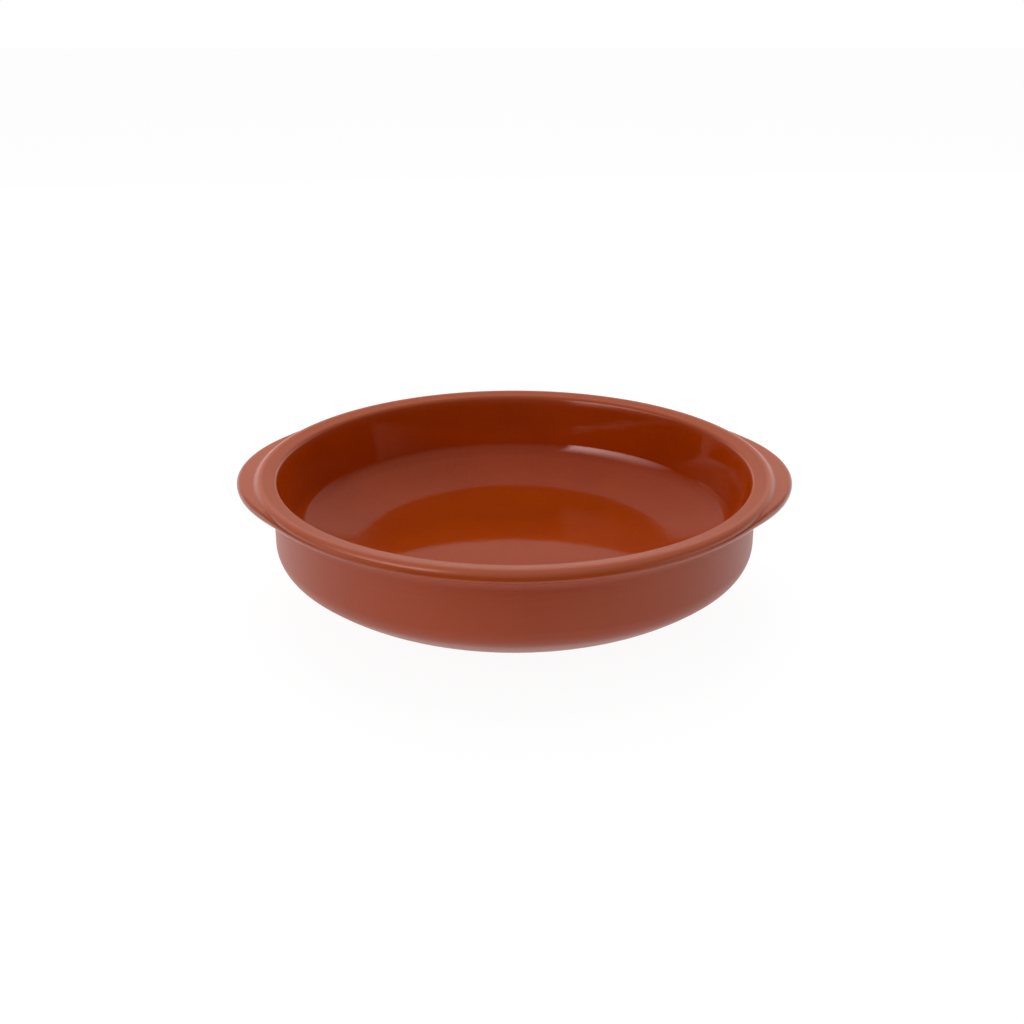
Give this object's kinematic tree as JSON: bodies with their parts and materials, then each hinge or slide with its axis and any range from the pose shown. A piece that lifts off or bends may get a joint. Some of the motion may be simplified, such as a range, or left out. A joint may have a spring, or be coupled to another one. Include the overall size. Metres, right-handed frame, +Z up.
{
  "type": "cazuela",
  "caption": "Round shallow earthenware cooking and serving dish with a rim bead, low ear handles, upright wall and a curved underside, glazed inside",
  "frame": {"origin": "middle of the flat foot, on the surface that the dish stands on", "axes": "+X through the two ears, +Y across them, +Z up out of the mouth"},
  "size_m": [0.3, 0.28, 0.066],
  "materials": {
    "glazed_clay": "gloss"
  },
  "bodies": {
    "root": {"dish": "glazed_clay"}
  },
  "joints": []
}
